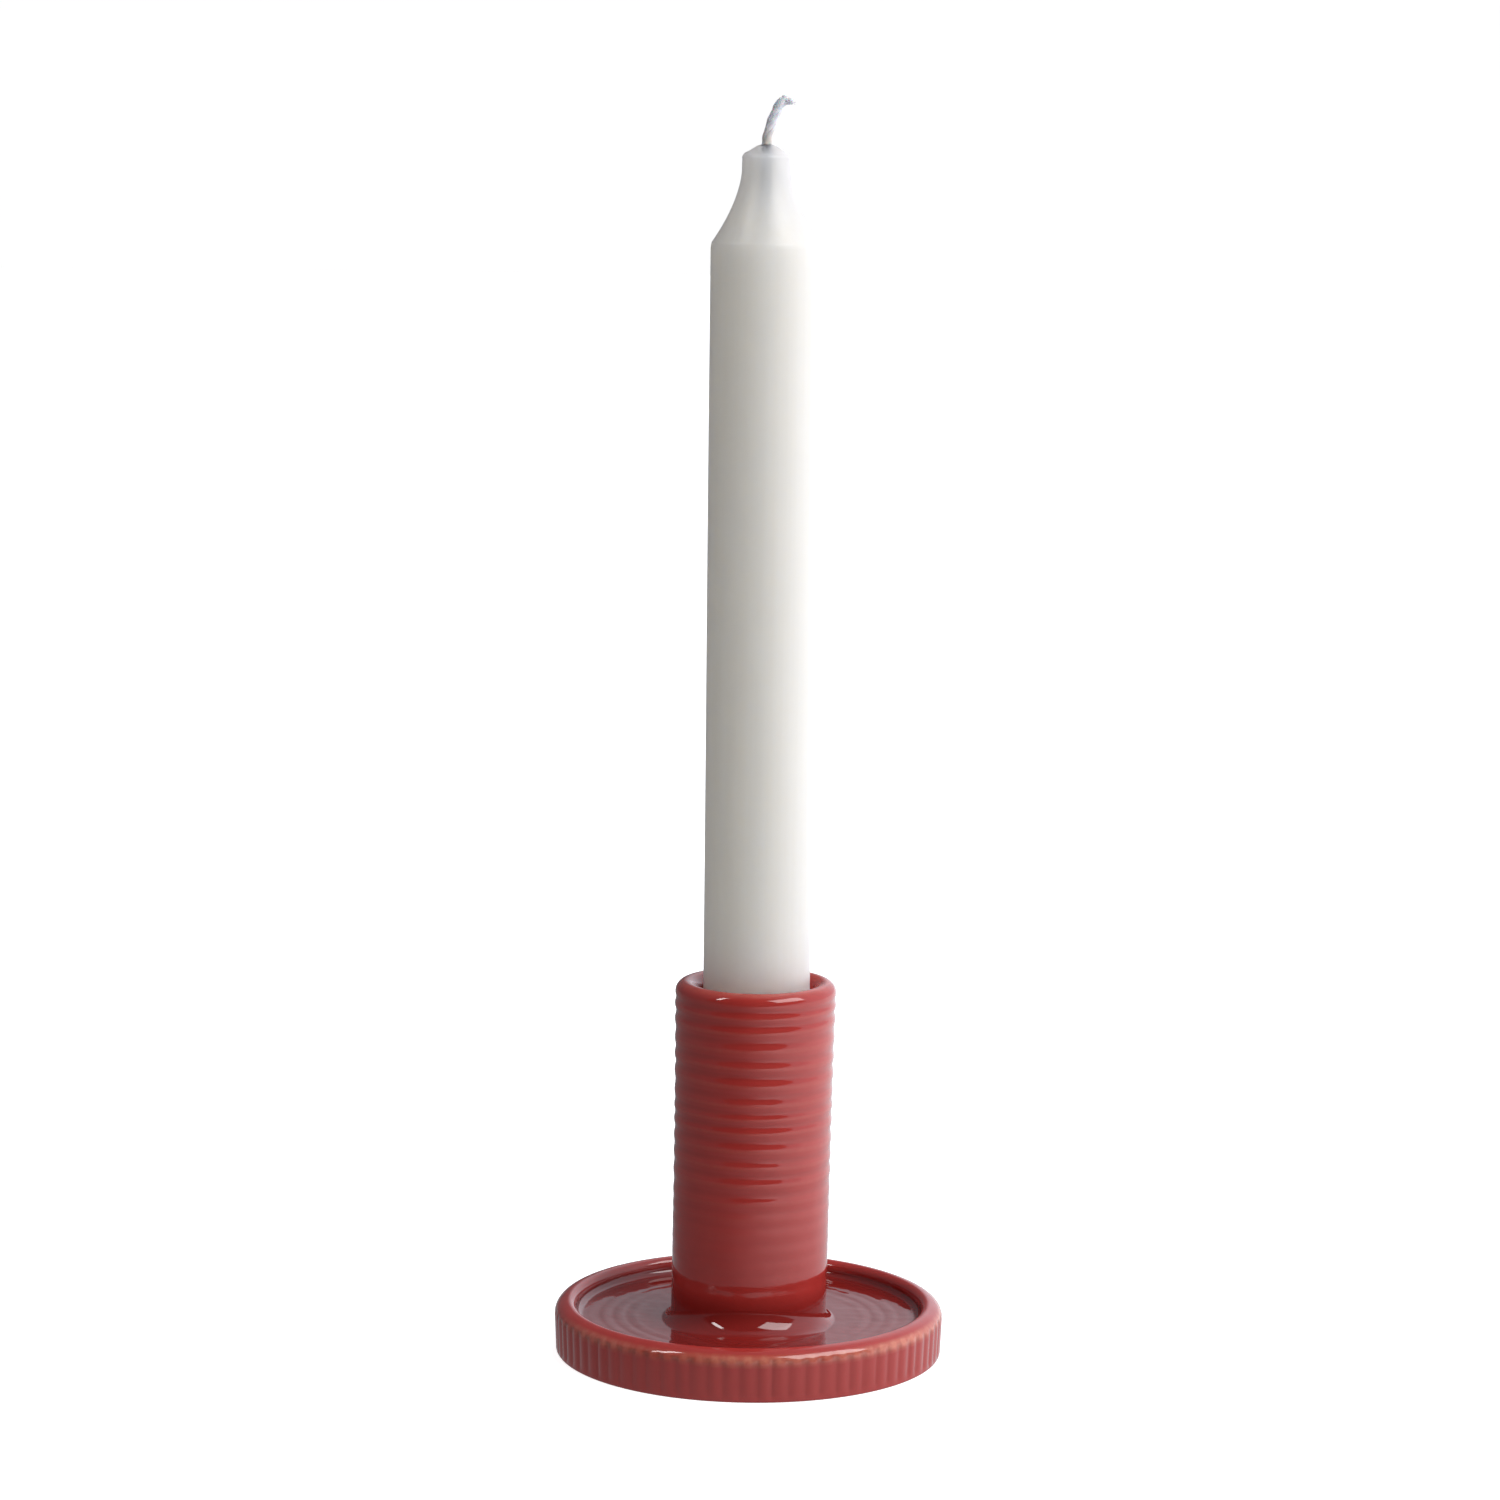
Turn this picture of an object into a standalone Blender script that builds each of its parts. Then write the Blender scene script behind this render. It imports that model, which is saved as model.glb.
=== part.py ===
"""A glazed ceramic candlestick with its dinner candle.

The holder is two clay parts, a fluted saucer and a ribbed hollow stem, joined with a coil of
slip before glazing. The candle stands in the socket at the top of the stem and lifts out.
The frame has +Z up, with the origin on the table under the middle of the saucer.
"""

import math

import bmesh
import bpy

MM = 0.001
JOINT_GAP = 0.3 * MM

# Candle: a standard dinner candle, with a flared shoulder and a narrow crown
CANDLE_RADIUS = 11.0 * MM
CANDLE_LENGTH = 200.0 * MM
CROWN_RADIUS = 4.9 * MM
CROWN_HEIGHT = 4.7 * MM
FLARE_HEIGHT = 15.0 * MM
FLARE_POWER = 1.7
WICK_RADIUS = 1.0 * MM
WICK_FREE_HEIGHT = 9.7 * MM
WICK_LEAN = 3.3 * MM
WICK_LEAN_POWER = 1.65

# Stem: a hollow tube with a web across it that the candle stands on
HOLDER_HEIGHT = 77.9 * MM
SOCKET_DEPTH = 30.2 * MM
SOCKET_CLEARANCE = 0.6 * MM
SOCKET_WEB = 4.0 * MM
LOWER_HOLLOW_RADIUS = 10.5 * MM
STEM_RADIUS = 16.1 * MM
STEM_FLARE = 0.5 * MM
STEM_FLARE_START = 30.0 * MM
STEM_FLARE_POWER = 1.6
STEM_LIP_RADIUS = 2.2 * MM
RIB_PITCH = 3.5 * MM
RIB_DEPTH = 0.2 * MM
RIB_COUNT = 17
TOP_RIB = 73.2 * MM

# Saucer
SAUCER_RADIUS = 40.2 * MM
SAUCER_HEIGHT = 10.6 * MM
SAUCER_FLOOR = 7.0 * MM
FLAT_FLOOR_RADIUS = 24.0 * MM
FLOOR_RISE = 0.9 * MM
SAUCER_WALL = 4.4 * MM
SAUCER_TAPER = 0.3 * MM
LIP_OUTER_RADIUS = 2.9 * MM
DISH_CORNER_RADIUS = 1.6 * MM
FOOT_EDGE_RADIUS = 0.5 * MM
FOOT_RING_WIDTH = 5.6 * MM
UNDERSIDE_RECESS = 2.0 * MM
VENT_RADIUS = 4.0 * MM
FLUTE_COUNT = 76
FLUTE_DEPTH = 0.45 * MM

# Slip coil that fills the corner between stem and saucer
COIL_SIZE = 3.2 * MM
COIL_EDGE = 0.3 * MM

STEM_SEGMENTS = 44
CANDLE_SEGMENTS = 40


def clear_scene():
    for obj in list(bpy.data.objects):
        bpy.data.objects.remove(obj, do_unlink=True)


def material(name, colour, roughness):
    """A plain Principled finish of the piece's own colour."""
    made = bpy.data.materials.new(name)
    made.use_nodes = True
    shader = made.node_tree.nodes["Principled BSDF"]
    shader.inputs["Base Color"].default_value = (*colour, 1.0)
    shader.inputs["Roughness"].default_value = roughness
    shader.inputs["Metallic"].default_value = 0.0
    return made


def arc(centre_r, centre_z, radius, start_deg, end_deg, steps):
    """Outline points on a circular arc, both ends included, in the (r, z) half plane."""
    points = []
    for i in range(steps + 1):
        angle = math.radians(start_deg + (end_deg - start_deg) * i / steps)
        points.append((centre_r + radius * math.cos(angle), centre_z + radius * math.sin(angle)))
    return points


def turned(name, outline, segments, finish, closed):
    """A solid of revolution about Z. An open outline starts and ends on the axis."""
    bm = bmesh.new()
    verts = [bm.verts.new((r, 0.0, z)) for r, z in outline]
    pairs = list(zip(verts, verts[1:]))
    if closed:
        pairs.append((verts[-1], verts[0]))
    edges = [bm.edges.new(pair) for pair in pairs]
    bmesh.ops.spin(bm, geom=verts + edges, cent=(0, 0, 0), axis=(0, 0, 1), angle=2 * math.pi, steps=segments)
    bmesh.ops.remove_doubles(bm, verts=bm.verts, dist=1e-6)
    bmesh.ops.recalc_face_normals(bm, faces=bm.faces)
    return finished(name, bm, finish)


def finished(name, bm, finish):
    """The bmesh as a named object, smooth but for its real corners."""
    mesh = bpy.data.meshes.new(name)
    bm.to_mesh(mesh)
    bm.free()
    mesh.shade_smooth()
    mesh.set_sharp_from_angle(angle=math.radians(40))
    mesh.materials.append(finish)
    obj = bpy.data.objects.new(name, mesh)
    bpy.context.scene.collection.objects.link(obj)
    return obj


def saucer_outline():
    """Closed outline of the dish: vent, floor, inner wall, lip, fluted wall, foot ring, underside."""
    crest_r = SAUCER_RADIUS - LIP_OUTER_RADIUS
    inner_r = SAUCER_RADIUS - SAUCER_WALL
    inner_lip = crest_r - inner_r
    corner = DISH_CORNER_RADIUS
    foot_r = SAUCER_RADIUS - SAUCER_TAPER
    edge = FOOT_EDGE_RADIUS
    ring_r = foot_r - edge - FOOT_RING_WIDTH
    outline = [(VENT_RADIUS, UNDERSIDE_RECESS), (VENT_RADIUS, SAUCER_FLOOR)]
    outline.append((FLAT_FLOOR_RADIUS, SAUCER_FLOOR))
    outline += arc(inner_r - corner, SAUCER_FLOOR + FLOOR_RISE + corner, corner, 270, 360, 3)[:-1]
    outline += arc(crest_r, SAUCER_HEIGHT - inner_lip, inner_lip, 180, 90, 3)
    outline += arc(crest_r, SAUCER_HEIGHT - LIP_OUTER_RADIUS, LIP_OUTER_RADIUS, 90, 0, 4)[1:]
    outline += arc(foot_r - edge, edge, edge, 0, -90, 2)
    outline += [(ring_r, 0.0), (ring_r - UNDERSIDE_RECESS, UNDERSIDE_RECESS)]
    return outline


def press_flutes(saucer):
    """Draws every second line of points on the wall inwards, which leaves a groove between ridges."""
    crest_r = SAUCER_RADIUS - LIP_OUTER_RADIUS
    for vert in saucer.data.vertices:
        radius = math.hypot(vert.co.x, vert.co.y)
        if radius < crest_r + 0.6 * LIP_OUTER_RADIUS:
            continue
        angle = math.atan2(vert.co.y, vert.co.x)
        inward = FLUTE_DEPTH * (0.5 - 0.5 * math.cos(FLUTE_COUNT * angle))
        vert.co.x *= 1 - inward / radius
        vert.co.y *= 1 - inward / radius


def stem_wall(z):
    """Outer radius of the stem at height z: straight low down, then flaring gently to the lip."""
    flare_height = HOLDER_HEIGHT - STEM_LIP_RADIUS - STEM_FLARE_START
    share = max(0.0, (z - STEM_FLARE_START) / flare_height)
    return STEM_RADIUS + STEM_FLARE * share**STEM_FLARE_POWER


def stem_outline():
    """Open outline of the tube: socket floor, bore, rolled lip, ribbed wall, foot, lower hollow."""
    bore_r = CANDLE_RADIUS + SOCKET_CLEARANCE
    socket_floor = HOLDER_HEIGHT - SOCKET_DEPTH
    foot_z = SAUCER_FLOOR + JOINT_GAP
    crest_r = STEM_RADIUS + STEM_FLARE - STEM_LIP_RADIUS
    inner_lip = crest_r - bore_r
    outline = [(0.0, socket_floor), (bore_r, socket_floor)]
    outline += arc(crest_r, HOLDER_HEIGHT - inner_lip, inner_lip, 180, 90, 5)
    outline += arc(crest_r, HOLDER_HEIGHT - STEM_LIP_RADIUS, STEM_LIP_RADIUS, 90, 0, 4)[1:]
    for i in range(RIB_COUNT):
        rib_z = TOP_RIB - i * RIB_PITCH
        groove_z = rib_z - 0.5 * RIB_PITCH
        outline += [(stem_wall(rib_z), rib_z), (stem_wall(groove_z) - RIB_DEPTH, groove_z)]
    outline += [(STEM_RADIUS, foot_z), (LOWER_HOLLOW_RADIUS, foot_z)]
    outline += [(LOWER_HOLLOW_RADIUS, socket_floor - SOCKET_WEB), (0.0, socket_floor - SOCKET_WEB)]
    return outline


def coil_outline():
    """Closed outline of the slip coil, smoothed to a hollow fillet."""
    inner_r = STEM_RADIUS + JOINT_GAP
    base_z = SAUCER_FLOOR + JOINT_GAP
    centre = COIL_SIZE + COIL_EDGE
    outline = [(inner_r, base_z), (inner_r + centre, base_z)]
    outline += arc(inner_r + centre, base_z + centre, COIL_SIZE, 270, 180, 4)
    outline.append((inner_r, base_z + centre))
    return outline


def candle_base():
    return HOLDER_HEIGHT - SOCKET_DEPTH + JOINT_GAP


def wax_outline():
    """Closed outline of the wax: wick hole, flat base, straight side, flared shoulder, crown."""
    base_z = candle_base()
    tip_z = base_z + CANDLE_LENGTH
    hole_r = WICK_RADIUS + JOINT_GAP
    edge = 0.6 * MM
    crown_z = tip_z - CROWN_HEIGHT
    steps = 6
    outline = [(hole_r, base_z), (CANDLE_RADIUS - edge, base_z), (CANDLE_RADIUS, base_z + edge)]
    for i in range(steps + 1):
        share = 1 - i / steps
        flare = (CANDLE_RADIUS - CROWN_RADIUS) * share**FLARE_POWER
        outline.append((CROWN_RADIUS + flare, crown_z - FLARE_HEIGHT * share))
    outline += [(CROWN_RADIUS, crown_z + 2.0 * MM), (CROWN_RADIUS - 0.5 * MM, crown_z + 3.2 * MM)]
    outline += [(hole_r + 0.4 * MM, tip_z), (hole_r, tip_z)]
    return outline


def make_wick(finish):
    """A round cotton wick from the candle's base to its free end, which leans to +X."""
    base_z = candle_base()
    top_z = base_z + CANDLE_LENGTH
    places = [(0.0, 0.0, base_z)]
    steps = 8
    for i in range(steps + 1):
        share = i / steps
        places.append((WICK_LEAN * share**WICK_LEAN_POWER, 0.0, top_z + WICK_FREE_HEIGHT * share))
    curve = bpy.data.curves.new("wick", "CURVE")
    curve.dimensions = "3D"
    curve.bevel_depth = WICK_RADIUS
    curve.bevel_resolution = 2
    curve.use_fill_caps = True
    spline = curve.splines.new("POLY")
    spline.points.add(len(places) - 1)
    for point, place in zip(spline.points, places):
        point.co = (*place, 1.0)
    curve.materials.append(finish)
    obj = bpy.data.objects.new("wick", curve)
    bpy.context.scene.collection.objects.link(obj)


def main():
    clear_scene()
    glaze = material("brick_red_glaze", (0.36, 0.05, 0.035), 0.12)
    wax = material("ivory_wax", (0.80, 0.77, 0.70), 0.35)
    cotton = material("white_cotton", (0.88, 0.87, 0.84), 0.9)
    press_flutes(turned("saucer", saucer_outline(), 2 * FLUTE_COUNT, glaze, closed=True))
    turned("stem", stem_outline(), STEM_SEGMENTS, glaze, closed=False)
    turned("slip_coil", coil_outline(), STEM_SEGMENTS, glaze, closed=True)
    turned("candle_wax", wax_outline(), CANDLE_SEGMENTS, wax, closed=True)
    make_wick(cotton)


main()
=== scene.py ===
import math

import bpy
import numpy as np
from mathutils import Matrix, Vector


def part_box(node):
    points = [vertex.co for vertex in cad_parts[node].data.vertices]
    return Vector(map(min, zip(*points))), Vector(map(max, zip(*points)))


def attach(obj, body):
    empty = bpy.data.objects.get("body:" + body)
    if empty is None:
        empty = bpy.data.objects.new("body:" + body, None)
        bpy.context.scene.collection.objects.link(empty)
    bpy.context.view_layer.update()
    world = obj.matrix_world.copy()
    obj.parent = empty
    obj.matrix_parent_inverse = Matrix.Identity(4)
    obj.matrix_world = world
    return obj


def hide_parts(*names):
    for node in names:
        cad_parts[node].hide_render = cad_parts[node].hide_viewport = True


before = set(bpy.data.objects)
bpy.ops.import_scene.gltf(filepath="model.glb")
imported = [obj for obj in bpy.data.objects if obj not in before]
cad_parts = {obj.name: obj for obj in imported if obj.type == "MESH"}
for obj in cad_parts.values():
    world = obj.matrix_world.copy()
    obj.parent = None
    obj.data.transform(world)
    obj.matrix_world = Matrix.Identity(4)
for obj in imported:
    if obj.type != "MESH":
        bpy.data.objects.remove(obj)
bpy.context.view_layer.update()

# ---------------------------------------------------------------------------------------------
# Saucer: a thrown stoneware dish with a rolled lip and a foot ring. Its outer wall is fluted by
# pressing a ribbed tool into the leather-hard clay, and it is glazed all over but for the foot.
# ---------------------------------------------------------------------------------------------

MM = 0.001


def arc(centre_r, centre_z, radius, start_deg, end_deg, count):
    """Points (r, z) on a circle: the centre plus radius times the cosine and sine of even angles."""
    angles = np.radians(np.linspace(start_deg, end_deg, count))
    return np.column_stack([centre_r + radius * np.cos(angles), centre_z + radius * np.sin(angles)])


def line(start, end, count):
    """Points (r, z) spaced evenly from start towards end, with both ends included."""
    return np.linspace(start, end, count)


def outline_of(*stretches):
    """One outline from stretches laid end to end, with each point that repeats the last one dropped."""
    points = np.concatenate(stretches)
    apart = np.linalg.norm(np.diff(points, axis=0), axis=1) > 1e-7
    return points[np.concatenate([[True], apart])]


def smooth_step(low, high, value):
    """0 below low, 1 above high, and 3t^2 - 2t^3 between them, where t is the share of the way."""
    t = np.clip((value - low) / (high - low), 0.0, 1.0)
    return t * t * (3.0 - 2.0 * t)


def turn(outline, columns):
    """Radii, heights and angles of an outline carried round the Z axis, each a rows by columns grid."""
    angles = np.linspace(0.0, 2.0 * math.pi, columns, endpoint=False)
    radii = np.repeat(outline[:, :1], columns, axis=1)
    heights = np.repeat(outline[:, 1:], columns, axis=1)
    return radii, heights, np.broadcast_to(angles, radii.shape)


def polar_points(radii, heights, angles):
    """Points at (r cos a, r sin a, z)."""
    return np.stack([radii * np.cos(angles), radii * np.sin(angles), heights], axis=-1)


def grid_faces(rows, columns, wrap_rows, first=0):
    """Quads between neighbours in a grid whose columns wrap round, as vertex numbers."""
    numbers = first + np.arange(rows * columns).reshape(rows, columns)
    ahead = np.roll(numbers, -1, axis=0) if wrap_rows else numbers[1:]
    here = numbers if wrap_rows else numbers[:-1]
    quads = np.stack([here, np.roll(here, -1, axis=1), np.roll(ahead, -1, axis=1), ahead], axis=-1)
    return quads.reshape(-1, 4)


def fan(ring, middle, reverse):
    """Triangles from each pair of neighbours in a closed ring to one middle vertex."""
    after = np.roll(ring, -1)
    pair = (after, ring) if reverse else (ring, after)
    return np.column_stack([*pair, np.full(len(ring), middle)])


def signed_volume(points, triangles):
    """A sixth of the sum of corner a times (b cross c), positive where faces point outwards."""
    a, b, c = (points[triangles[:, i]] for i in range(3))
    return np.einsum("ij,ij->i", a, np.cross(b, c)).sum() / 6.0


def surface(name, grids, wrap_rows, finish, masks=None):
    """An object from grids of points, each closed on itself or capped by a fan at either end."""
    points, quads, triangles = [], [], []
    first = 0
    for grid in grids:
        rows, columns = grid.shape[:2]
        own = grid_faces(rows, columns, wrap_rows)
        flat = grid.reshape(-1, 3)
        caps = np.empty((0, 3), int)
        if not wrap_rows:
            ends = np.stack([grid[0].mean(axis=0), grid[-1].mean(axis=0)])
            flat = np.concatenate([flat, ends])
            start_ring = np.arange(columns)
            end_ring = start_ring + (rows - 1) * columns
            count = rows * columns
            caps = np.concatenate([fan(start_ring, count, True), fan(end_ring, count + 1, False)])
        split = np.concatenate([own[:, [0, 1, 2]], own[:, [0, 2, 3]], caps])
        if signed_volume(flat - flat.mean(axis=0), split) < 0:
            own, caps = own[:, ::-1], caps[:, ::-1]
        points.append(flat)
        quads.append(own + first)
        triangles.append(caps + first)
        first += len(flat)
    mesh = bpy.data.meshes.new(name)
    faces = np.concatenate(quads).tolist() + np.concatenate(triangles).tolist()
    mesh.from_pydata(np.concatenate(points), [], faces)
    for mask, values in (masks or {}).items():
        held = np.zeros(len(mesh.vertices), np.float32)
        held[: values.size] = values.ravel()
        mesh.attributes.new(mask, "FLOAT", "POINT").data.foreach_set("value", held)
    mesh.shade_smooth()
    mesh.materials.append(finish)
    obj = bpy.data.objects.new(name, mesh)
    bpy.context.scene.collection.objects.link(obj)
    return obj


def blank_finish(name):
    """A new material with its node tree and its Principled shader."""
    made = bpy.data.materials.new(name)
    made.use_nodes = True
    return made, made.node_tree, made.node_tree.nodes["Principled BSDF"]


def add(tree, kind, inputs=None, **settings):
    """A new shader node. Each input is linked if it is given a socket, and set otherwise."""
    made = tree.nodes.new(kind)
    for setting, value in settings.items():
        setattr(made, setting, value)
    for key, value in (inputs or {}).items():
        if isinstance(value, bpy.types.NodeSocket):
            tree.links.new(value, made.inputs[key])
        else:
            made.inputs[key].default_value = value
    return made


def mix_colour(tree, share, first, second):
    """The colour socket of a mix that goes from first to second as share goes from 0 to 1."""
    return add(tree, "ShaderNodeMix", {0: share, 6: first, 7: second}, data_type="RGBA").outputs[2]


def maths(tree, operation, first, second=0.0):
    """The value socket of one sum, product or other operation on two values."""
    return add(tree, "ShaderNodeMath", {0: first, 1: second}, operation=operation).outputs[0]


def noise(tree, coordinates, scale, detail=3.0):
    """The value socket of 3D noise on these coordinates, centred near a half."""
    inputs = {"Vector": coordinates, "Scale": scale, "Detail": detail}
    return add(tree, "ShaderNodeTexNoise", inputs).outputs["Fac"]


GLAZE_DEEP = (0.440, 0.036, 0.030, 1.0)
GLAZE_OPEN = (0.500, 0.050, 0.042, 1.0)
# The darker glaze colour serves both for glaze pooling and for painted shade at the stem's foot, in its
# fillet and in the rim's notches.
GLAZE_POOLED_AND_SHADED = (0.200, 0.012, 0.010, 1.0)
GLAZE_BROKEN = (0.700, 0.230, 0.155, 1.0)
BARE_CLAY = (0.560, 0.360, 0.230, 1.0)
GLAZE_ROUGHNESS = 0.055
BARE_CLAY_ROUGHER_BY = 0.7
GLAZE_IOR = 1.58
MOTTLE_SCALE = 140.0
SPECKLE_SCALE = 900.0
LEAST_BREAK = 0.35
PIT_SCALE = 420.0
PIT_SIZE = 0.07
PIT_DEPTH = 0.4 * MM
WAVE_SCALE = 210.0
WAVE_DEPTH = 0.16 * MM


def glaze_finish(name):
    """Glossy iron-red glaze: mottled, peach where `thin`, clay where `bare`, and darker by one mask that
    holds both glaze pooling and painted shade.
    """
    made, tree, shader = blank_finish(name)
    where = add(tree, "ShaderNodeTexCoord").outputs["Object"]
    masks = {
        mask: add(tree, "ShaderNodeAttribute", attribute_name=mask).outputs["Fac"]
        for mask in ("thin", "pooled_and_shaded", "bare")
    }
    mottle = noise(tree, where, MOTTLE_SCALE)
    speckle = noise(tree, where, SPECKLE_SCALE, 4.0)
    colour = mix_colour(tree, mottle, GLAZE_DEEP, GLAZE_OPEN)
    colour = mix_colour(tree, masks["pooled_and_shaded"], colour, GLAZE_POOLED_AND_SHADED)
    broken = maths(tree, "MULTIPLY", masks["thin"], maths(tree, "ADD", speckle, LEAST_BREAK))
    colour = mix_colour(tree, broken, colour, GLAZE_BROKEN)
    colour = mix_colour(tree, masks["bare"], colour, BARE_CLAY)
    tree.links.new(colour, shader.inputs["Base Color"])
    rough = maths(tree, "MULTIPLY", masks["bare"], BARE_CLAY_ROUGHER_BY)
    rough = maths(tree, "ADD", rough, GLAZE_ROUGHNESS)
    tree.links.new(rough, shader.inputs["Roughness"])
    shader.inputs["IOR"].default_value = GLAZE_IOR
    pits = add(tree, "ShaderNodeTexVoronoi", {"Vector": where, "Scale": PIT_SCALE}).outputs["Distance"]
    pits = maths(tree, "MINIMUM", pits, PIT_SIZE)
    pits = add(tree, "ShaderNodeBump", {"Height": pits, "Strength": 0.35, "Distance": PIT_DEPTH})
    waves = {"Height": noise(tree, where, WAVE_SCALE, 1.0), "Strength": 0.5, "Distance": WAVE_DEPTH}
    waves = add(tree, "ShaderNodeBump", {**waves, "Normal": pits.outputs[0]})
    tree.links.new(waves.outputs[0], shader.inputs["Normal"])
    return made


GLAZE = glaze_finish("brick_red_glaze")

FLUTES = 76
COLUMNS_PER_FLUTE = 12
FLUTE_DEPTH = 0.29 * MM
FLUTE_TOP = 1.55 * MM
GROOVE_SOFTNESS = 0.02
DISH_FLOOR = 7.0 * MM
FLAT_FLOOR_RADIUS = 22.0 * MM
FLOOR_RISE = 0.3 * MM
FLOOR_POOL = 0.85
THROWING_DEPTH = 0.035 * MM
THROWING_PITCH = 2.9 * MM
RIM_UNTRUE = 0.12 * MM
VENT_RADIUS = 4.0 * MM
WALL_TAPER = 0.3 * MM
FOOT_RING_WIDTH = 6.1 * MM

saucer_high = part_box("saucer")[1]
ridge_r, rim_z = saucer_high[0], saucer_high[2]
lip_r, inner_lip_r, corner_r, foot_edge_r = 2.9 * MM, 1.5 * MM, 1.6 * MM, 0.5 * MM
crest_r = ridge_r - lip_r
inner_wall_r = crest_r - inner_lip_r
foot_r = ridge_r - WALL_TAPER
inner_lip_start = rim_z - inner_lip_r
ring_inner_r = foot_r - FOOT_RING_WIDTH
recess = 2.0 * MM

saucer_outline = outline_of(
    line((VENT_RADIUS, recess), (VENT_RADIUS, DISH_FLOOR), 4),
    line((VENT_RADIUS, DISH_FLOOR), (inner_wall_r - corner_r, DISH_FLOOR), 34),
    arc(inner_wall_r - corner_r, DISH_FLOOR + corner_r, corner_r, 270, 345, 8),
    arc(crest_r, inner_lip_start, inner_lip_r, 180, 90, 9),
    arc(crest_r, rim_z - lip_r, lip_r, 90, 0, 18),
    line((ridge_r, rim_z - lip_r), (foot_r, foot_edge_r), 12),
    arc(foot_r - foot_edge_r, foot_edge_r, foot_edge_r, 0, -90, 5),
    line((foot_r - foot_edge_r, 0.0), (ring_inner_r, 0.0), 3),
    line((ring_inner_r - 0.4 * MM, 0.4 * MM), (ring_inner_r - recess, recess), 3),
)
radii, heights, angles = turn(saucer_outline, FLUTES * COLUMNS_PER_FLUTE)

# Round ridges with narrow grooves: the groove share is 1 - |cos|, softened at its bottom.
flute_number = np.round(FLUTES * angles / (2.0 * math.pi)) % FLUTES
press = 1.0 + 0.18 * np.sin(2.3 * flute_number) + 0.12 * np.sin(5.1 * flute_number + 1.0)
groove = np.sqrt(np.cos(0.5 * FLUTES * angles) ** 2 + GROOVE_SOFTNESS)
groove = 1.0 - groove / math.sqrt(1.0 + GROOVE_SOFTNESS)
flute_end = rim_z - FLUTE_TOP - 0.25 * MM * np.sin(1.7 * flute_number)
below_end = 1.0 - smooth_step(flute_end - 0.9 * MM, flute_end, heights)
on_wall = (radii > crest_r + 0.3 * lip_r) * below_end * smooth_step(0.3 * MM, 1.4 * MM, heights)
radii = radii - FLUTE_DEPTH * press * groove * on_wall

# The floor rises to the wall and has faint throwing rings, and the rim is a little out of true.
inside = (heights > DISH_FLOOR - 0.01 * MM) * (radii < inner_wall_r - 0.01 * MM)
on_floor = smooth_step(FLAT_FLOOR_RADIUS, FLAT_FLOOR_RADIUS + 2 * MM, radii)
on_floor = on_floor * (1.0 - smooth_step(31 * MM, 34 * MM, radii)) * inside
wall_share = np.clip((inner_lip_start - heights) / (inner_lip_start - DISH_FLOOR), 0.0, 1.0)
rising_width = inner_wall_r - corner_r - FLAT_FLOOR_RADIUS
rise = np.clip((radii - FLAT_FLOOR_RADIUS) / rising_width, 0.0, 1.0) ** 1.5
heights = heights + FLOOR_RISE * rise * wall_share * inside
throwing = np.sin(2.0 * math.pi * radii / THROWING_PITCH + 0.4 * np.sin(angles))
heights = heights + on_floor * THROWING_DEPTH * throwing
untrue = smooth_step(DISH_FLOOR + 0.5 * MM, rim_z, heights)
heights = heights - RIM_UNTRUE * untrue * (1.0 + np.sin(2.0 * angles + 0.7))

# The glaze breaks peach on the shoulder above the flutes, and pools faintly in the grooves and on the floor.
# The notches at the groove tops are painted darker: painted shade standing in for the dark room they reflect.
below_rim = rim_z - heights
on_outside = radii > crest_r + 0.4 * lip_r
shoulder = on_outside * smooth_step(0.6 * MM, 1.5 * MM, below_rim)
shoulder = shoulder * (1.0 - smooth_step(1.9 * MM, 3.4 * MM, below_rim))
# Painted shade: the groove tops in the notches are darkened in place of the dark reflection there.
notch_shade = on_outside * smooth_step(0.10, 0.45, groove) * smooth_step(1.5 * MM, 1.9 * MM, below_rim)
notch_shade = notch_shade * (1.0 - smooth_step(2.4 * MM, 3.2 * MM, below_rim))
patchy = 0.62 + 0.3 * np.sin(angles + 1.9) + 0.18 * np.sin(7.0 * angles)
ridge_top = smooth_step(0.55, 0.95, 1.0 - groove)
saucer_masks = {
    "thin": shoulder * (0.85 + 0.25 * ridge_top) * patchy,
    "pooled_and_shaded": 0.55 * notch_shade + 0.10 * groove * on_wall + FLOOR_POOL * inside,
    "bare": (heights < 0.25 * MM) * (radii < foot_r - 0.4 * MM) * 1.0,
}
saucer = surface("glazed_saucer", [polar_points(radii, heights, angles)], True, GLAZE, saucer_masks)
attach(saucer, "holder")
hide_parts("saucer")

# ---------------------------------------------------------------------------------------------
# Stem: a thrown stoneware tube, open at the top as the socket and closed by a web part way down.
# The potter's fingers leave it ringed outside, and the glaze runs over the rings.
# ---------------------------------------------------------------------------------------------

STEM_COLUMNS = 224
SOCKET_WEB = 4.0 * MM
BORE_RADIUS = 11.6 * MM
LOWER_HOLLOW_RADIUS = 10.5 * MM
STEM_RADIUS = 16.1 * MM
RIB_PITCH = 3.47 * MM
TOP_RIB = 73.0 * MM
STEM_LEAN = 0.6 * MM
FLARE_START = 30.0 * MM
STEM_FLARE_POWER = 1.6
SOCKET_CORNER = 1.0 * MM
WEB_FAN_RADIUS = 0.6 * MM
FAINT_RIB, ADDED_RIB, TOP_ADDED_RIB = 0.018 * MM, 0.072 * MM, 0.022 * MM
RIB_CENTRE = 0.4
OUT_OF_ROUND = 0.05 * MM
# Painted shade at the stem's foot and in its fillet: how far the glaze is darkened there.
FOOT_SHADE = 0.70

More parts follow.
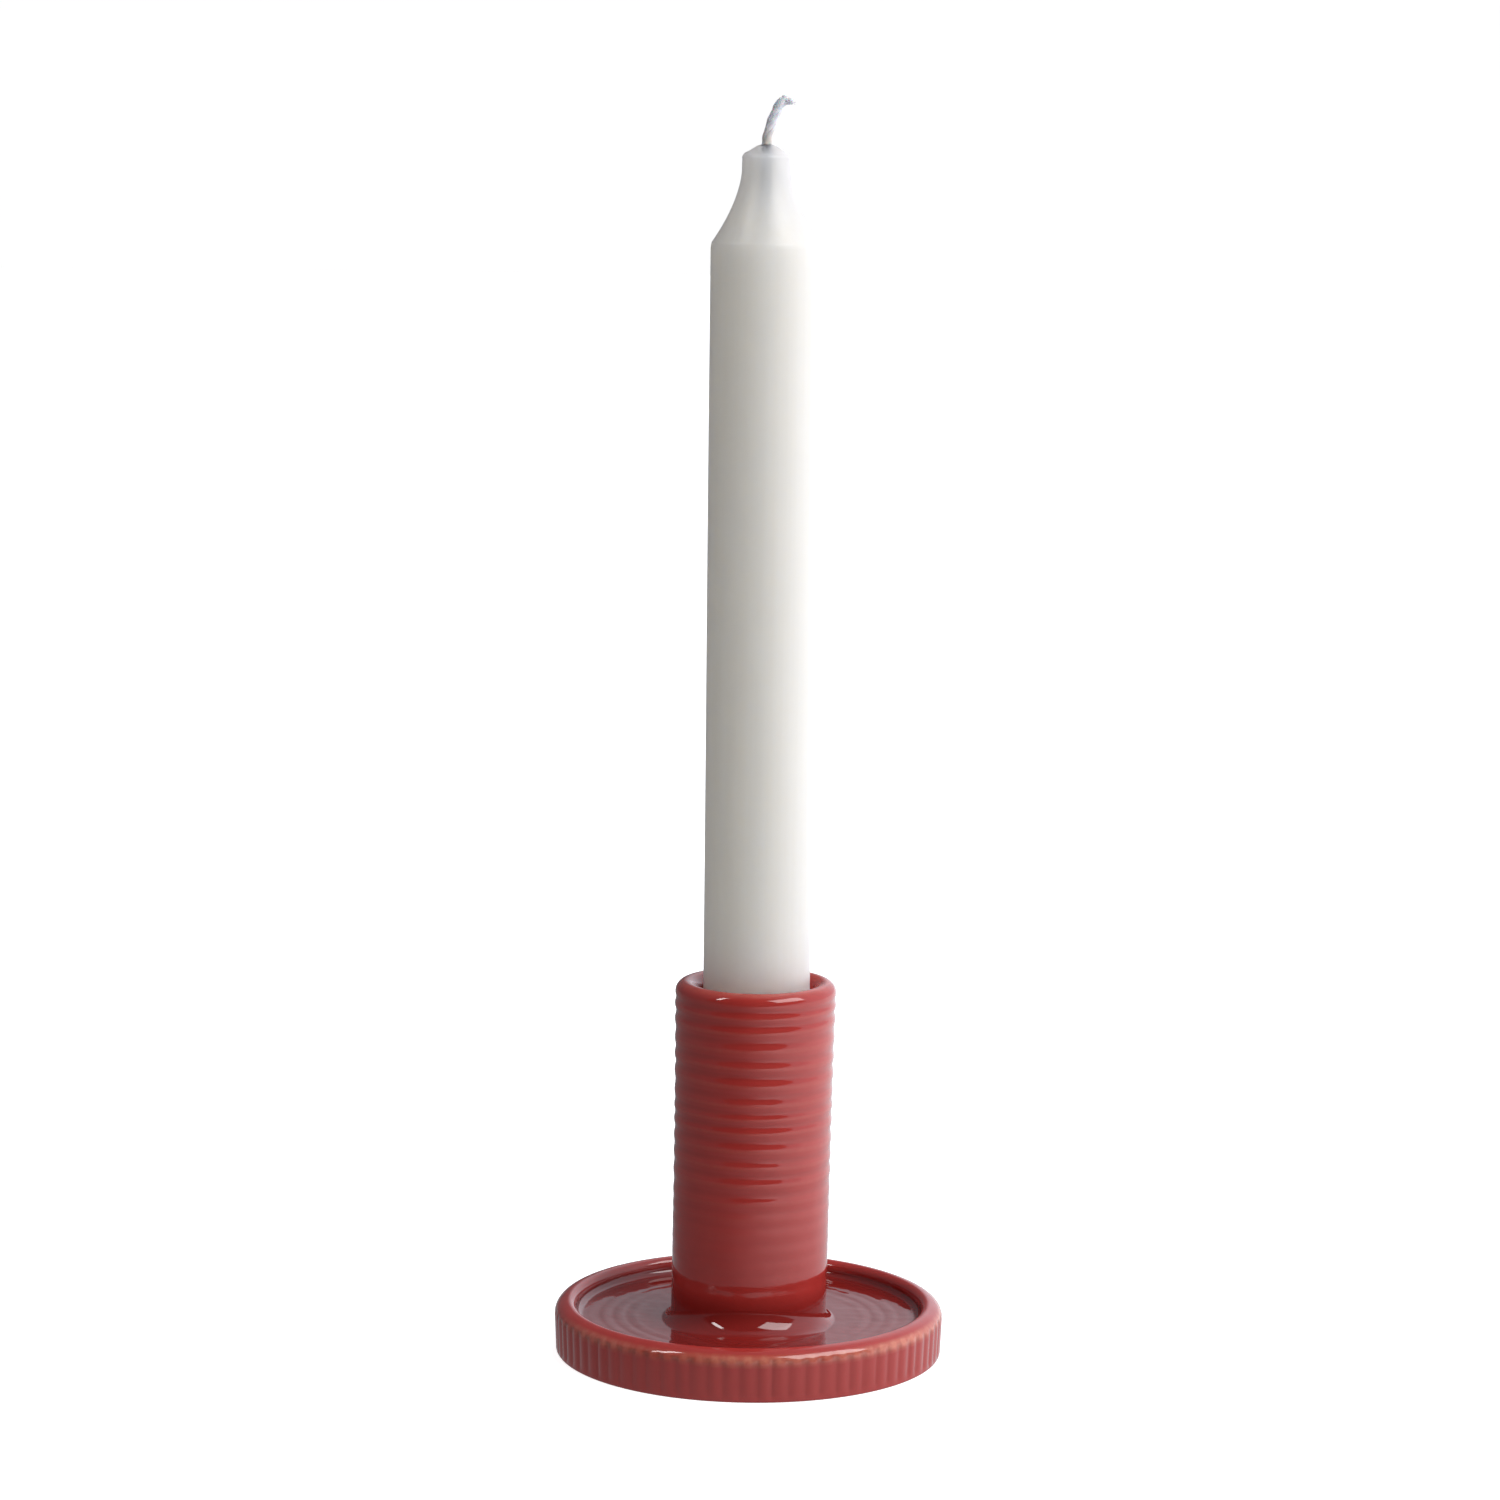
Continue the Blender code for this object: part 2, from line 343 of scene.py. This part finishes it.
stem_low, stem_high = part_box("stem")
stem_foot, stem_top = stem_low[2], stem_high[2]
stem_lip_r = 2.2 * MM
stem_crest_r = stem_high[0] - stem_lip_r
inner_lip = stem_crest_r - BORE_RADIUS
socket_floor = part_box("candle_wax")[0][2] - 0.3 * MM
web_under = socket_floor - SOCKET_WEB


def stem_wall(z):
    """The stem's outer radius: straight low down, then flaring with a power of the height."""
    share = np.clip((z - FLARE_START) / (stem_top - stem_lip_r - FLARE_START), 0.0, 1.0)
    return STEM_RADIUS + (stem_high[0] - STEM_RADIUS) * share**STEM_FLARE_POWER


def stem_lean(z):
    """How far the leaning stem stands to the right at a height: in proportion to it."""
    return STEM_LEAN * (z - DISH_FLOOR) / (stem_top - DISH_FLOOR)


wall_z = np.linspace(stem_top - stem_lip_r, stem_foot, 250)
stem_outline = outline_of(
    line((WEB_FAN_RADIUS, socket_floor), (BORE_RADIUS - SOCKET_CORNER, socket_floor), 6),
    arc(BORE_RADIUS - SOCKET_CORNER, socket_floor + SOCKET_CORNER, SOCKET_CORNER, 270, 360, 5),
    line((BORE_RADIUS, socket_floor + 2.0 * MM), (BORE_RADIUS, stem_top - inner_lip), 12),
    arc(stem_crest_r, stem_top - inner_lip, inner_lip, 180, 90, 14),
    arc(stem_crest_r, stem_top - stem_lip_r, stem_lip_r, 90, 0, 14),
    np.column_stack([stem_wall(wall_z), wall_z]),
    line((STEM_RADIUS - 0.5 * MM, stem_foot), (LOWER_HOLLOW_RADIUS, stem_foot), 4),
    line((LOWER_HOLLOW_RADIUS, stem_foot), (LOWER_HOLLOW_RADIUS, web_under), 8),
    line((LOWER_HOLLOW_RADIUS, web_under), (WEB_FAN_RADIUS, web_under), 6),
)
radii, heights, angles = turn(stem_outline, STEM_COLUMNS)

# Rings: a cosine of the depth below the top ring. Their pitch drifts, and they are fainter low down.
depth = (TOP_RIB - heights) / RIB_PITCH
drift = 0.10 * np.sin(0.9 * depth + 0.5) + 0.06 * np.sin(2.1 * depth)
drift = drift + 0.05 * np.sin(angles + 1.3 * depth)
ring = np.cos(2.0 * math.pi * (depth + drift))
relief = smooth_step(24 * MM, 44 * MM, heights)
strength = FAINT_RIB + ADDED_RIB * relief + TOP_ADDED_RIB * smooth_step(52 * MM, 70 * MM, heights)
strength = strength * (1.0 + 0.25 * np.sin(1.9 * depth + 1.0))
on_side = (radii > STEM_RADIUS - 0.1 * MM) * smooth_step(13.5 * MM, 17 * MM, heights)
on_side = on_side * (1.0 - smooth_step(stem_top - 3.4 * MM, stem_top - 1.9 * MM, heights))
radii = radii + on_side * strength * (ring - RIB_CENTRE)
wobble = OUT_OF_ROUND * np.sin(2.0 * angles + 60.0 * heights)
radii = radii + wobble * (radii > STEM_RADIUS - 0.6 * MM) * smooth_step(15 * MM, 30 * MM, heights)

# The glaze is thin on the ring tops and the lip, and pools between the rings.
# The band at the stem's foot is painted darker: painted shade where the stem meets the saucer.
on_lip = smooth_step(stem_top - 1.2 * MM, stem_top - 0.1 * MM, heights)
on_lip = on_lip * (radii > BORE_RADIUS + 0.8 * MM)
# Painted shade: the stem's glaze is darkened low down, fading out between 11 and 16 mm.
painted_foot_shade = FOOT_SHADE * (1.0 - smooth_step(11 * MM, 16 * MM, heights))
stem_masks = {
    "thin": on_side * relief * smooth_step(0.55, 1.0, ring) * 0.08 + on_lip * 0.16,
    "pooled_and_shaded": on_side * (0.03 + 0.15 * relief) * smooth_step(0.2, 1.0, -ring) + painted_foot_shade,
    "bare": np.zeros_like(radii),
}
stem_points = polar_points(radii, heights, angles)
stem_points[..., 0] += stem_lean(heights)
stem = surface("glazed_stem", [stem_points], False, GLAZE, stem_masks)
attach(stem, "holder")
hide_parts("stem")

# ---------------------------------------------------------------------------------------------
# Slip coil: a thread of wet clay worked into the corner at the stem's foot with a fingertip.
# It is glazed with the rest, so it shows only as a hollow fillet.
# ---------------------------------------------------------------------------------------------

COIL_RADIUS = 1.4 * MM
COIL_EXTRA_AT_FRONT = 4.0 * MM
SUNK = 0.001 * MM
RUN_ON = 0.3 * MM
HIDDEN = 0.5 * MM

coil_outer = STEM_RADIUS + COIL_RADIUS
coil_top = DISH_FLOOR + COIL_RADIUS
hidden_r = STEM_RADIUS - HIDDEN
hidden_z = DISH_FLOOR - HIDDEN

# The arc ends just under the stem's and floor's skins and runs on there, so no seam shows.
coil_outline = outline_of(
    arc(coil_outer - SUNK, coil_top - SUNK, COIL_RADIUS, 180, 270, 28),
    line((coil_outer + RUN_ON, DISH_FLOOR - 0.02 * MM), (coil_outer + RUN_ON, hidden_z), 3),
    line((hidden_r, hidden_z), (hidden_r, coil_top + RUN_ON), 5),
    line((STEM_RADIUS - 0.1 * MM, coil_top + RUN_ON), (STEM_RADIUS - 0.02 * MM, coil_top + RUN_ON), 2),
)
radii, heights, angles = turn(coil_outline, STEM_COLUMNS)

# The fillet is fuller at the front: it grows with the cube of (1 - sin a) / 2.
growth = 1.0 + COIL_EXTRA_AT_FRONT / COIL_RADIUS * ((1.0 - np.sin(angles)) / 2.0) ** 3
radii = STEM_RADIUS + (radii - STEM_RADIUS) * np.where(radii > STEM_RADIUS, growth, 1.0)
heights = DISH_FLOOR + (heights - DISH_FLOOR) * np.where(heights > DISH_FLOOR, growth, 1.0)
coil_masks = {mask: np.zeros_like(radii) for mask in ("thin", "pooled_and_shaded", "bare")}
reach = np.clip((radii - STEM_RADIUS) / (COIL_RADIUS * growth), 0.0, 1.0)
# Painted shade in the fillet: the foot's painted shade next to the stem, blending into the floor's pooling
# glaze at the toe.
coil_masks["pooled_and_shaded"] = FOOT_SHADE + (FLOOR_POOL - FOOT_SHADE) * reach**2
coil_points = polar_points(radii, heights, angles)
coil_points[..., 0] += stem_lean(heights)
coil = surface("glazed_slip_coil", [coil_points], True, GLAZE, coil_masks)
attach(coil, "holder")
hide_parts("slip_coil")

# ---------------------------------------------------------------------------------------------
# Candle: ivory wax drawn or pressed round its wick, with a shoulder and crown cut by a turning
# tool. It stands loose in the socket.
# ---------------------------------------------------------------------------------------------

CANDLE_COLUMNS = 160
CROWN_RADIUS = 4.9 * MM
CROWN_HEIGHT = 4.7 * MM
FLARE_HEIGHT = 15.0 * MM
FLARE_POWER = 1.7
FOOT_SLIDE = 0.75 * MM
CROWN_SLIDE = 0.30 * MM
FOOT_ROUNDING = 0.5 * MM
CAP_RADIUS = 1.15 * MM
WAX_SHRINK = 0.05 * MM
WAX_PALE = (0.855, 0.826, 0.755, 1.0)
WAX_WARM = (0.828, 0.785, 0.695, 1.0)

wax_low, wax_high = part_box("candle_wax")
candle_r, wax_foot, wax_top = wax_high[0], wax_low[2], wax_high[2]
crown_z = wax_top - CROWN_HEIGHT
share = np.linspace(1.0, 0.0, 40)
flare = CROWN_RADIUS + (candle_r - CROWN_RADIUS) * share**FLARE_POWER
wax_outline = outline_of(
    line((0.9 * MM, wax_foot), (candle_r - FOOT_ROUNDING, wax_foot), 6),
    arc(candle_r - FOOT_ROUNDING, wax_foot + FOOT_ROUNDING, FOOT_ROUNDING, -90, 0, 5),
    line((candle_r, wax_foot + 2 * MM), (candle_r, crown_z - FLARE_HEIGHT - 0.9 * MM), 120),
    np.column_stack([
        np.minimum(flare, candle_r - 0.12 * MM * smooth_step(0.94, 1.0, share)),
        crown_z - FLARE_HEIGHT * share,
    ]),
    line((CROWN_RADIUS, crown_z + 0.4 * MM), (CROWN_RADIUS - 0.04 * MM, crown_z + 1.9 * MM), 4),
    arc(CROWN_RADIUS - CAP_RADIUS, crown_z + 2.1 * MM, CAP_RADIUS, 5, 62, 8),
    line((CROWN_RADIUS - 0.85 * MM, crown_z + 3.2 * MM), (1.9 * MM, wax_top - 0.25 * MM), 8),
    line((1.35 * MM, wax_top + 0.05 * MM), (0.9 * MM, wax_top + 0.2 * MM), 3),
    line((0.85 * MM, wax_top - 0.6 * MM), (0.85 * MM, wax_top - 1.2 * MM), 2),
)
radii, heights, angles = turn(wax_outline, CANDLE_COLUMNS)

# Slow waves round and along the wax: a sum of two sines of the angle, turning with the height.
along = heights / (40 * MM)
bumps = 0.030 * np.sin(3 * angles + along) + 0.022 * np.sin(5 * angles - 1.7 * along)
radii = radii + (bumps * MM - WAX_SHRINK) * (radii > 3 * MM)
crown_bumps = 0.10 * MM * np.sin(2 * angles + 1.0) * (radii < CROWN_RADIUS - 0.5 * MM)
heights = heights + crown_bumps * (heights > crown_z + 2 * MM) * (heights < wax_top - 0.2 * MM)


def lean_at(z):
    """How far to +X the candle's axis is: it leans back a little from where its foot has slid over."""
    return FOOT_SLIDE + (CROWN_SLIDE - FOOT_SLIDE) * (z - wax_foot) / (wax_top - wax_foot)


def wax_finish():
    """Satin wax that light passes deep into, streaked lengthwise by stretched noise."""
    made, tree, shader = blank_finish("ivory_wax")
    where = add(tree, "ShaderNodeTexCoord").outputs["Object"]
    stretched = add(tree, "ShaderNodeMapping", {"Vector": where, "Scale": (1.0, 1.0, 0.012)}).outputs[0]
    streaks = noise(tree, stretched, 700.0, 2.0)
    colour = mix_colour(tree, streaks, WAX_WARM, WAX_PALE)
    tree.links.new(colour, shader.inputs["Base Color"])
    shader.inputs["Roughness"].default_value = 0.33
    shader.inputs["IOR"].default_value = 1.44
    shader.inputs["Subsurface Weight"].default_value = 1.0
    shader.inputs["Subsurface Radius"].default_value = (1.0, 0.94, 0.84)
    shader.inputs["Subsurface Scale"].default_value = 34.0 * MM
    skin = {"Height": noise(tree, stretched, 420.0, 2.0), "Strength": 0.25, "Distance": 0.12 * MM}
    skin = add(tree, "ShaderNodeBump", skin)
    tree.links.new(skin.outputs[0], shader.inputs["Normal"])
    return made


candle_points = polar_points(radii, heights, angles)
candle_points[..., 0] += lean_at(heights)
candle = surface("dinner_candle", [candle_points], True, wax_finish())
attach(candle, "candle")
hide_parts("candle_wax")

# ---------------------------------------------------------------------------------------------
# Wick: three bleached cotton yarns laid up together, waxed where they leave the crown. The cut
# end has come loose, so its yarns part and shed fibres.
# ---------------------------------------------------------------------------------------------

YARN_RADIUS = 0.64 * MM
YARN_OFFSET = 0.38 * MM
LAY_LENGTH = 10.0 * MM
WICK_LEAN = 3.3 * MM
LEAN_POWER = 1.65
FREE_HEIGHT = 9.7 * MM
PARTING = 0.78
START_SHARE = -0.5
FIBRES = 34
FIBRE_RADIUS = 0.035 * MM
BURIED_RADIUS = 0.95 * MM
COTTON = (0.740, 0.755, 0.810, 1.0)
WAXED_COTTON = (0.620, 0.610, 0.570, 1.0)


def tube(path, radius, columns):
    """Rings round a path: at each point, radius times (cos a, sin a) in the plane square to the path."""
    ahead = np.gradient(path, axis=0)
    ahead = ahead / np.linalg.norm(ahead, axis=1, keepdims=True)
    across = np.cross(ahead, (0.0, 1.0, 0.0))
    across = across / np.linalg.norm(across, axis=1, keepdims=True)
    other = np.cross(ahead, across)
    around = np.linspace(0.0, 2.0 * math.pi, columns, endpoint=False)
    radius = np.broadcast_to(radius, len(path))[:, None, None]
    spokes = across[:, None] * np.cos(around)[None, :, None] + other[:, None] * np.sin(around)[None, :, None]
    return path[:, None] + radius * spokes


def wick_centre(share):
    """The free wick's middle: it rises evenly while its lean grows with a power of the share."""
    lean = WICK_LEAN * np.clip(share, 0.0, None) ** LEAN_POWER
    return np.stack([CROWN_SLIDE + lean, 0.0 * share, wax_top + FREE_HEIGHT * share], axis=-1)


yarn_ends = np.array([(3.7, 0.35, 9.7), (5.2, -0.3, 8.75), (3.1, 0.1, 9.0)]) * MM
yarn_ends = yarn_ends + (CROWN_SLIDE, 0.0, wax_top)
yarns = []
for number, end in enumerate(yarn_ends):
    share = np.linspace(START_SHARE, 1.0, 120)
    turned_by = 2.0 * math.pi * (share * FREE_HEIGHT / LAY_LENGTH + number / 3.0)
    offset = YARN_OFFSET * np.stack([np.cos(turned_by), np.sin(turned_by), 0.0 * share], axis=-1)
    apart = smooth_step(PARTING, 1.0, share)[:, None]
    held = wick_centre(np.minimum(share, PARTING + 0.1)) + offset
    path = held * (1.0 - apart) + end * apart
    taper = 1.0 - 0.45 * smooth_step(0.93, 1.0, share)
    yarns.append(tube(path, YARN_RADIUS * (taper + 0.05 * np.sin(40.0 * share + number)), 14))

draws = np.random.default_rng(7)
for number in range(FIBRES):
    root = yarn_ends[number % 3] + draws.normal(0.0, 0.16, 3) * MM - (0.0, 0.0, 0.5 * MM * draws.random())
    if number % 4 == 3:
        root = wick_centre(np.array([draws.uniform(0.15, 0.8)]))[0] + (0.8 * MM * draws.choice([-1, 1]), 0, 0)
    reach = (draws.normal(0.25, 0.5), draws.normal(0.0, 0.4), draws.uniform(0.1, 0.5))
    reach = np.array(reach) * 0.9 * MM
    share = np.linspace(0.0, 1.0, 7)[:, None]
    curl = np.array([0.0, 0.0, -0.25 * MM]) * share**2
    yarns.append(tube(root + reach * share + curl, FIBRE_RADIUS, 5))


def cotton_finish():
    """Matt cotton, fuzzed by fine noise, and duller just above the crown where wax has soaked in."""
    made, tree, shader = blank_finish("bleached_cotton")
    where = add(tree, "ShaderNodeTexCoord").outputs["Object"]
    height = add(tree, "ShaderNodeSeparateXYZ", {0: where}).outputs[2]
    limits = {"Value": height, "From Min": wax_top + 1.0 * MM, "From Max": wax_top + 4.5 * MM}
    dry = add(tree, "ShaderNodeMapRange", limits).outputs[0]
    tree.links.new(mix_colour(tree, dry, WAXED_COTTON, COTTON), shader.inputs["Base Color"])
    shader.inputs["Roughness"].default_value = 0.85
    shader.inputs["Subsurface Weight"].default_value = 0.2
    shader.inputs["Subsurface Scale"].default_value = 0.5 * MM
    fuzz = {"Height": noise(tree, where, 7000.0, 3.0), "Strength": 0.6, "Distance": 0.06 * MM}
    tree.links.new(add(tree, "ShaderNodeBump", fuzz).outputs[0], shader.inputs["Normal"])
    return made


buried_z = np.linspace(wax_foot + 0.2 * MM, wax_top - 2.0 * MM, 24)
buried = np.column_stack([lean_at(buried_z), 0.0 * buried_z, buried_z])
wick = surface("cotton_wick", [tube(buried, BURIED_RADIUS, 20), *yarns], False, cotton_finish())
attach(wick, "candle")
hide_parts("wick")

# ---------------------------------------------------------------------------------------------
# Stage: a pale table, a card just under it that lights the object from below, and a plain white
# surround. Only the camera sees the table and the surround.
# ---------------------------------------------------------------------------------------------

TABLE_SIZE = 12.0
CARD_FRONT = -0.55
CARD_DROP = 1.0 * MM
SURROUND_SIDES = 48
SURROUND_LOW, SURROUND_HIGH = -0.5, 6.0


def stage_object(name, points, faces, finish):
    """An object for the stage, from a few points and faces, with one finish."""
    mesh = bpy.data.meshes.new(name)
    mesh.from_pydata(points, [], faces)
    mesh.materials.append(finish)
    obj = bpy.data.objects.new(name, mesh)
    bpy.context.scene.collection.objects.link(obj)
    return obj


table_finish, tree, shader = blank_finish("pale_table")
shader.inputs["Base Color"].default_value = (0.90, 0.90, 0.90, 1.0)
shader.inputs["Roughness"].default_value = 0.9
shader.inputs["Specular IOR Level"].default_value = 0.1
where = add(tree, "ShaderNodeTexCoord").outputs["Object"]
away = add(tree, "ShaderNodeVectorMath", {0: where}, operation="LENGTH").outputs["Value"]
glow = {"Value": away, "From Min": 0.05, "From Max": 0.5, "To Min": 0.80, "To Max": 1.0}
glow = add(tree, "ShaderNodeMapRange", glow).outputs[0]
shader.inputs["Emission Color"].default_value = (1.0, 1.0, 1.0, 1.0)
tree.links.new(glow, shader.inputs["Emission Strength"])
half = 0.5 * TABLE_SIZE
corners = [(-half, -half, 0.0), (half, -half, 0.0), (half, half, 0.0), (-half, half, 0.0)]
table = stage_object("table", corners, [(0, 1, 2, 3)], table_finish)

# The card is brighter to the right and ends in front, where the dark of the room begins.
card_finish, tree, shader = blank_finish("bounce_card")
shader.inputs["Base Color"].default_value = (0.0, 0.0, 0.0, 1.0)
shader.inputs["Emission Color"].default_value = (0.95, 0.96, 1.0, 1.0)
where = add(tree, "ShaderNodeTexCoord").outputs["Object"]
along = add(tree, "ShaderNodeSeparateXYZ", {0: where}).outputs[0]
bright = {"Value": along, "From Min": -0.10, "From Max": 0.18, "To Min": 0.22, "To Max": 1.3}
bright = add(tree, "ShaderNodeMapRange", bright, interpolation_type="SMOOTHSTEP").outputs[0]
tree.links.new(bright, shader.inputs["Emission Strength"])
lowered = [(x, max(y, CARD_FRONT), -CARD_DROP) for x, y, _ in corners]
card = stage_object("bounce_card", lowered, [(0, 1, 2, 3)], card_finish)
card.visible_camera = False

surround_finish, tree, shader = blank_finish("white_surround")
shader.inputs["Base Color"].default_value = (0.0, 0.0, 0.0, 1.0)
shader.inputs["Emission Color"].default_value = (1.0, 1.0, 1.0, 1.0)
shader.inputs["Emission Strength"].default_value = 1.0
around = np.linspace(0.0, 2.0 * math.pi, SURROUND_SIDES, endpoint=False)
lower = [(half * math.cos(a), half * math.sin(a), SURROUND_LOW) for a in around]
upper = [(x, y, SURROUND_HIGH) for x, y, _ in lower]
panels = [(i, (i + 1) % SURROUND_SIDES) for i in range(SURROUND_SIDES)]
panels = [(i, after, SURROUND_SIDES + after, SURROUND_SIDES + i) for i, after in panels]
surround = stage_object("surround", lower + upper, panels, surround_finish)
for unseen in (table, surround):
    unseen.visible_diffuse = False
    unseen.visible_glossy = False
    unseen.visible_transmission = False
surround.visible_shadow = False

# ---------------------------------------------------------------------------------------------
# Light: a dim room in front, pale walls to the sides and behind, one wide strip of light high on
# the right and a narrow one on the left.
# ---------------------------------------------------------------------------------------------

UNLIT = 0.06
ROOM_TINT = (0.93, 0.91, 1.0, 1.0)
AIM_HEIGHT = 0.08

world = bpy.data.worlds.new("studio")
bpy.context.scene.world = world
world.use_nodes = True
tree = world.node_tree
background = tree.nodes["Background"]
direction = add(tree, "ShaderNodeTexCoord").outputs["Generated"]
parts = add(tree, "ShaderNodeSeparateXYZ", {0: direction}).outputs


def eased(value, low, high, from_value, to_value):
    """A socket that goes smoothly from from_value to to_value as value goes from low to high."""
    inputs = {"Value": value, "From Min": low, "From Max": high, "To Min": from_value, "To Max": to_value}
    return add(tree, "ShaderNodeMapRange", inputs, interpolation_type="SMOOTHSTEP").outputs[0]


sides = eased(parts[0], -0.35, 1.0, 0.20, 1.10)
behind = eased(parts[0], -0.12, 0.14, 0.16, 1.15)
# The unlit room behind the camera: a dark arch, low at its middle and higher to either side.
arch = maths(tree, "MULTIPLY", maths(tree, "ADD", parts[1], 1.0), 0.5)
dark = eased(maths(tree, "SUBTRACT", parts[2], arch), -0.17, -0.14, 0.0, 1.0)
dark = maths(tree, "MULTIPLY", dark, eased(parts[1], -0.30, -0.15, 1.0, 0.0))
to_back = eased(parts[1], 0.3, 0.8, 0.0, 1.0)
walls = add(tree, "ShaderNodeMix", {0: to_back, 2: sides, 3: behind}).outputs[0]
room = maths(tree, "MULTIPLY", walls, eased(dark, 0.0, 1.0, 1.0, UNLIT))
tree.links.new(room, background.inputs["Strength"])
background.inputs["Color"].default_value = ROOM_TINT


def strip_light(name, azimuth, elevation, width, height, distance, watts):
    """A rectangular lamp aimed at the object from that bearing: 0 is the front and 90 the right."""
    lamp = bpy.data.lights.new(name, "AREA")
    lamp.shape = "RECTANGLE"
    lamp.size, lamp.size_y, lamp.energy = width, height, watts
    obj = bpy.data.objects.new(name, lamp)
    turn_by, tilt = math.radians(azimuth), math.radians(elevation)
    away = distance * math.cos(tilt)
    high = AIM_HEIGHT + distance * math.sin(tilt)
    obj.location = (away * math.sin(turn_by), -away * math.cos(turn_by), high)
    obj.rotation_euler = (math.radians(90.0) - tilt, 0.0, turn_by)
    bpy.context.scene.collection.objects.link(obj)


strip_light("right_strip", 55.0, 44.0, 1.00, 0.70, 1.3, 11.5)
strip_light("left_strip", -62.0, 44.0, 0.15, 0.60, 1.3, 2.9)

# ---------------------------------------------------------------------------------------------
# Camera: a long lens in front of the object and a little above the candle's crown. It looks down
# at the holder and is rolled by under a degree.
# ---------------------------------------------------------------------------------------------

CAMERA_PLACE = (-0.0013, -0.895, 0.255)
LENS_MM = 106.4
PITCH_DOWN = math.radians(8.22)
ROLL = math.radians(0.8)

lens = bpy.data.cameras.new("camera")
lens.lens = LENS_MM
lens.sensor_width = 36.0
camera = bpy.data.objects.new("camera", lens)
camera.location = CAMERA_PLACE
bpy.context.scene.collection.objects.link(camera)
bpy.context.scene.camera = camera
facing = Matrix.Rotation(math.radians(90.0) - PITCH_DOWN, 4, "X") @ Matrix.Rotation(ROLL, 4, "Z")
camera.rotation_euler = facing.to_euler()

bpy.context.scene.view_settings.view_transform = "Standard"
bpy.context.scene.view_settings.look = "None"
